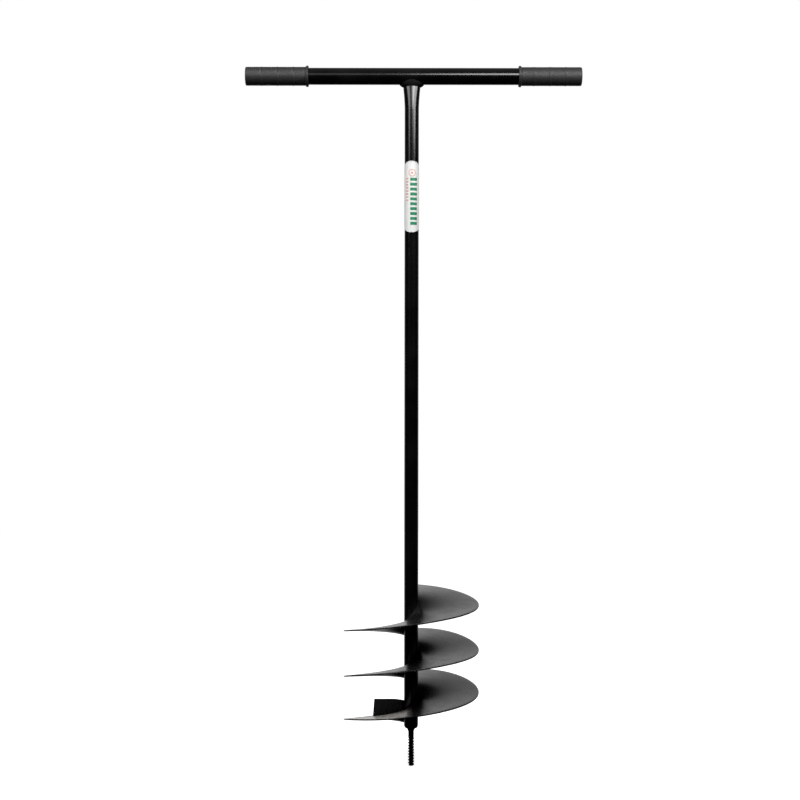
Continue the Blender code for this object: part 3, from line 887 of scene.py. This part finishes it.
def make_blade():
    """An upright plate along -X. Its foot follows the lowest flight and is coped over the root weld."""
    wall = SHAFT_RADIUS - WELD_SINK
    rings = []
    for i in range(BLADE_COLUMNS + 1):
        share = i / BLADE_COLUMNS
        foot_x = wall + (BLADE_REACH_BOTTOM - wall) * share
        head_x = wall + (BLADE_REACH_TOP - wall) * share
        cope = max(0.0, BLADE_COPE - (foot_x - wall))
        drop = BLADE_TOP_DROP * max(0.0, 1.0 - (head_x - wall) / BLADE_DROP_LENGTH)
        head = BLADE_TOP - drop
        ring = []
        for y in (-BLADE_THICKNESS / 2, BLADE_THICKNESS / 2):
            angle = math.atan2(y, -foot_x) % FULL_TURN
            height = flight_surface("lower", angle, math.hypot(foot_x, y), 1) - BLADE_SINK + cope
            ring.append((-foot_x, y, height))
        ring += [(-head_x, BLADE_THICKNESS / 2, head), (-head_x, -BLADE_THICKNESS / 2, head)]
        rings.append(ring)
    blade = lofted("breaker_blade_plate", rings, SATIN_BLACK, ["breaker_blade"])
    edge = blade.modifiers.new("edges", "BEVEL")
    edge.width = BLADE_EDGE_ROUND
    edge.segments = 3
    edge.limit_method = "ANGLE"
    edge.angle_limit = math.radians(50)


def make_blade_weld(name, side):
    """An upright rippled fillet between the blade's face and the shaft, on the front (-1) or back (1)."""
    wall = SHAFT_RADIUS - WELD_SINK
    face = BLADE_THICKNESS / 2 - WELD_SINK
    root = math.asin(face / wall)
    highest = math.pi + (BLADE_WELD_WRAP if side < 0 else 0.0)
    bottom = flight_surface("lower", highest, wall, 1) + ROOT_WELD_UP * BLADE_WELD_FOOT
    length = BLADE_WELD_TOP - bottom
    steps = int(length / RIPPLE_PITCH) * RIPPLE_SAMPLES
    rings = []
    for i in range(steps + 1):
        height = bottom + length * i / steps
        taper = min(1.0, BLADE_WELD_END_SIZE + BLADE_WELD_END_GROWTH * (steps - i) / steps)
        swell = ripple(length * i / steps, seed=side * 11.0) * taper
        leg = BLADE_WELD_LEG * swell
        wrap = root + (BLADE_WELD_WRAP - root) * swell
        toe = (-wall - leg, face)
        tip = (-wall * math.cos(wrap), wall * math.sin(wrap))
        outline = [(-wall * math.cos(root), wall * math.sin(root)), toe]
        for share in (0.25, 0.5, 0.75):
            x = toe[0] + (tip[0] - toe[0]) * share
            y = toe[1] + (tip[1] - toe[1]) * share
            bulge = BLADE_WELD_BULGE * swell * math.sin(math.pi * share)
            outline.append((x - bulge * 0.6, y + bulge * 0.8))
        outline.append(tip)
        rings.append([(x, side * y, height) for x, y in outline])
    lofted(f"{name}_bead", rings, WELD_BLACK, [name])


# ----------------------------------------------------------------- pilot


def make_end_plug():
    """The domed closure of the shaft, with its spigot inside the tube."""
    bore = PILOT_SHANK_RADIUS - PILOT_SINK
    spigot = SHAFT_RADIUS - TUBE_WALL - PLUG_SPIGOT_GAP
    profile = [(spigot, PLUG_TOP), (spigot, SHAFT_BOTTOM), (SHAFT_RADIUS, SHAFT_BOTTOM)]
    shoulder = SHAFT_BOTTOM - PLUG_SHOULDER
    for step in range(13):
        angle = math.pi / 2 * step / 12
        radius = PLUG_NOSE_RADIUS + (SHAFT_RADIUS - PLUG_NOSE_RADIUS) * math.cos(angle)
        profile.append((radius, shoulder - (shoulder - PLUG_BOTTOM) * math.sin(angle)))
    profile += [(bore, PLUG_BOTTOM), (bore, PLUG_TOP)]
    rings = turned_rings(profile, TURNED_STEPS, about_z)
    lofted("shaft_end_plug", rings, GLOSS_BLACK, ["end_plug"], closed_path=True)


def thread_radius(angle, height):
    """A right-hand thread with narrow flat crests, sloped flanks and wide flat roots."""
    phase = (height / PILOT_PITCH - angle / FULL_TURN) % 1.0
    away = abs(phase - 0.5) * 2
    crest = min(1.0, max(0.0, (THREAD_WIDTH - away) / THREAD_FLANK))
    return PILOT_ROOT_RADIUS + (PILOT_CREST_RADIUS - PILOT_ROOT_RADIUS) * crest


def make_pilot():
    """A blunt threaded rod, with a plain shank that goes up into the plug."""
    step = PILOT_PITCH / PILOT_ROWS_PER_PITCH
    rows = int(PILOT_THREAD_TOP / step)
    angles = [FULL_TURN * i / PILOT_AROUND for i in range(PILOT_AROUND)]
    rings = []
    wear_and_sheen = []
    for row in range(rows + 1):
        height = row * step
        chamfer = min(1.0, height / PILOT_CHAMFER)
        limit = PILOT_END_RADIUS + (PILOT_CREST_RADIUS - PILOT_END_RADIUS) * chamfer
        fade = min(1.0, max(0.0, (PILOT_THREAD_TOP - height) / (PILOT_PITCH * PILOT_RUNOUT)))
        ring = []
        exposure = []
        for angle in angles:
            threaded = min(limit, thread_radius(angle, height))
            radius = PILOT_SHANK_RADIUS + (threaded - PILOT_SHANK_RADIUS) * fade
            ring.append(about_z(radius, height, angle))
            exposure.append(1.0 if threaded > PILOT_CREST_RADIUS - CREST_WEAR_DEPTH else 0.0)
        rings.append(ring)
        wear_and_sheen.append(exposure)
    for height in (PILOT_THREAD_TOP + PILOT_SHANK_STEP, PLUG_TOP - PILOT_SHANK_STEP):
        rings.append([about_z(PILOT_SHANK_RADIUS, height, angle) for angle in angles])
        wear_and_sheen.append([0.0] * PILOT_AROUND)
    lofted("pilot_screw_rod", rings, SATIN_BLACK, ["pilot_screw"], wear_and_sheen=wear_and_sheen)


def make_pilot_weld():
    """A rippled ring of weld in the corner between the plug's nose and the pilot's shank."""
    inner = PILOT_SHANK_RADIUS - PILOT_SINK
    top = PLUG_BOTTOM + PILOT_WELD_SINK
    depth = top - PILOT_WELD_LOW.z
    width = PILOT_WELD_HIGH.x - inner
    rings = []
    for i in range(TURNED_STEPS):
        angle = FULL_TURN * i / TURNED_STEPS
        swell = ripple(inner * angle, seed=5.0)
        profile = [(inner + width * out * swell, top - depth * down) for out, down in PILOT_WELD_OUTLINE]
        rings.append([about_z(radius, height, angle) for radius, height in profile])
    lofted("pilot_weld_bead", rings, WELD_BLACK, ["pilot_weld"], closed_path=True)


# ---------------------------------------------------------------- studio


def make_floor():
    """A plain pale floor. Only the camera sees it, so that it leaves the black paint's reflections alone."""
    place = (0, 0, -FLOOR_DROP)
    bpy.ops.mesh.primitive_circle_add(vertices=96, radius=FLOOR_RADIUS, fill_type="NGON", location=place)
    floor = bpy.context.object
    floor.name = "studio_floor"
    material = bpy.data.materials.new("studio_floor")
    material.use_nodes = True
    shader = material.node_tree.nodes["Principled BSDF"]
    shader.inputs["Base Color"].default_value = (FLOOR_TONE, FLOOR_TONE, FLOOR_TONE, 1.0)
    shader.inputs["Roughness"].default_value = 0.9
    shader.inputs["Emission Color"].default_value = (1.0, 1.0, 1.0, 1.0)
    shader.inputs["Emission Strength"].default_value = FLOOR_GLOW
    floor.data.materials.append(material)
    floor.visible_glossy = False
    floor.visible_diffuse = False
    floor.visible_shadow = False


def make_world():
    """A pale wall behind the tool that fades out below it, and a dim ceiling. The camera sees plain white."""
    world = bpy.data.worlds.new("studio")
    bpy.context.scene.world = world
    world.use_nodes = True
    tree = world.node_tree
    tree.nodes.clear()
    link = tree.links.new
    direction = tree.nodes.new("ShaderNodeTexCoord").outputs["Generated"]
    parts = tree.nodes.new("ShaderNodeSeparateXYZ")
    link(direction, parts.inputs["Vector"])

    def maths(operation, first, second):
        made = tree.nodes.new("ShaderNodeMath")
        made.operation = operation
        link(first, made.inputs[0])
        if isinstance(second, float):
            made.inputs[1].default_value = second
        else:
            link(second, made.inputs[1])
        return made.outputs["Value"]

    def ramp(axis, start, end, value_at_start=0.0, value_at_end=1.0):
        """Goes from one value to another as the direction's share of an axis goes from start to end."""
        made = tree.nodes.new("ShaderNodeMapRange")
        link(parts.outputs[axis], made.inputs["Value"])
        for socket, value in zip(made.inputs[1:5], (start, end, value_at_start, value_at_end)):
            socket.default_value = value
        return made.outputs["Result"]

    wall = maths("POWER", ramp("Y", WALL_EDGE, 1.0), WALL_POWER)
    wall = maths("MULTIPLY", wall, ramp("Z", *HORIZON_FADE))
    wall = maths("MULTIPLY", wall, ramp("Z", 0.0, WALL_FOOT, 1.0, WALL_GLOW))
    ceiling = maths("POWER", ramp("Z", 0.0, 1.0), CEILING_POWER)
    total = maths("ADD", wall, maths("MULTIPLY", ceiling, OVERHEAD_GLOW))
    glow = tree.nodes.new("ShaderNodeBackground")
    link(total, glow.inputs["Strength"])
    white = tree.nodes.new("ShaderNodeBackground")
    white.inputs["Strength"].default_value = 1.0
    for background in (glow, white):
        background.inputs["Color"].default_value = (1.0, 1.0, 1.0, 1.0)
    chooser = tree.nodes.new("ShaderNodeMixShader")
    link(tree.nodes.new("ShaderNodeLightPath").outputs["Is Camera Ray"], chooser.inputs["Fac"])
    link(glow.outputs["Background"], chooser.inputs[1])
    link(white.outputs["Background"], chooser.inputs[2])
    output = tree.nodes.new("ShaderNodeOutputWorld")
    link(chooser.outputs["Shader"], output.inputs["Surface"])


def make_softbox(name, bearing, distance, height, size, radiance):
    """A soft oval light that faces the tool from a bearing, in degrees right of the camera's side."""
    light = bpy.data.lights.new(name, "AREA")
    light.shape = "ELLIPSE"
    light.size, light.size_y = size
    light.energy = radiance * math.pi * (math.pi / 4 * size[0] * size[1])
    made = bpy.data.objects.new(name, light)
    turn = math.radians(bearing)
    made.location = (distance * math.sin(turn), -distance * math.cos(turn), height)
    made.rotation_euler = (Vector(SOFTBOX_AIM) - made.location).to_track_quat("-Z", "Y").to_euler()
    made.visible_camera = False
    bpy.context.scene.collection.objects.link(made)


def make_camera():
    camera = bpy.data.objects.new("camera", bpy.data.cameras.new("camera"))
    camera.data.lens = CAMERA_LENS
    camera.data.sensor_width = CAMERA_SENSOR
    camera.location = CAMERA_PLACE
    camera.rotation_euler = (math.radians(90), CAMERA_ROLL, 0)
    bpy.context.scene.collection.objects.link(camera)
    bpy.context.scene.camera = camera


def make_studio():
    make_camera()
    make_world()
    make_floor()
    make_softbox("softbox_right", bearing=44, distance=1.1, height=1.47, size=(1.15, 0.74), radiance=7.6)
    make_softbox("softbox_middle", bearing=16, distance=1.1, height=1.40, size=(0.58, 0.42), radiance=8.5)
    make_softbox("softbox_dim", bearing=-12, distance=1.1, height=1.38, size=(0.60, 0.46), radiance=0.7)
    make_softbox("softbox_left", bearing=-40, distance=2.35, height=1.86, size=(1.4, 1.1), radiance=4.2)
    make_softbox("fill_left", bearing=-55, distance=2.1, height=2.5, size=(1.3, 1.3), radiance=13.0)
    bpy.context.scene.view_settings.view_transform = "Standard"


make_studio()
make_crossbar()
make_grips()
make_shaft()
make_tee_weld()
make_label()
make_label_print()
for flight in FLIGHTS:
    make_flight(flight)
    make_root_weld(flight, 1)
    make_root_weld(flight, -1)
make_seam_weld("lower", "middle")
make_seam_weld("middle", "upper")
make_blade()
make_blade_weld("blade_weld_front", -1)
make_blade_weld("blade_weld_back", 1)
make_end_plug()
make_pilot()
make_pilot_weld()
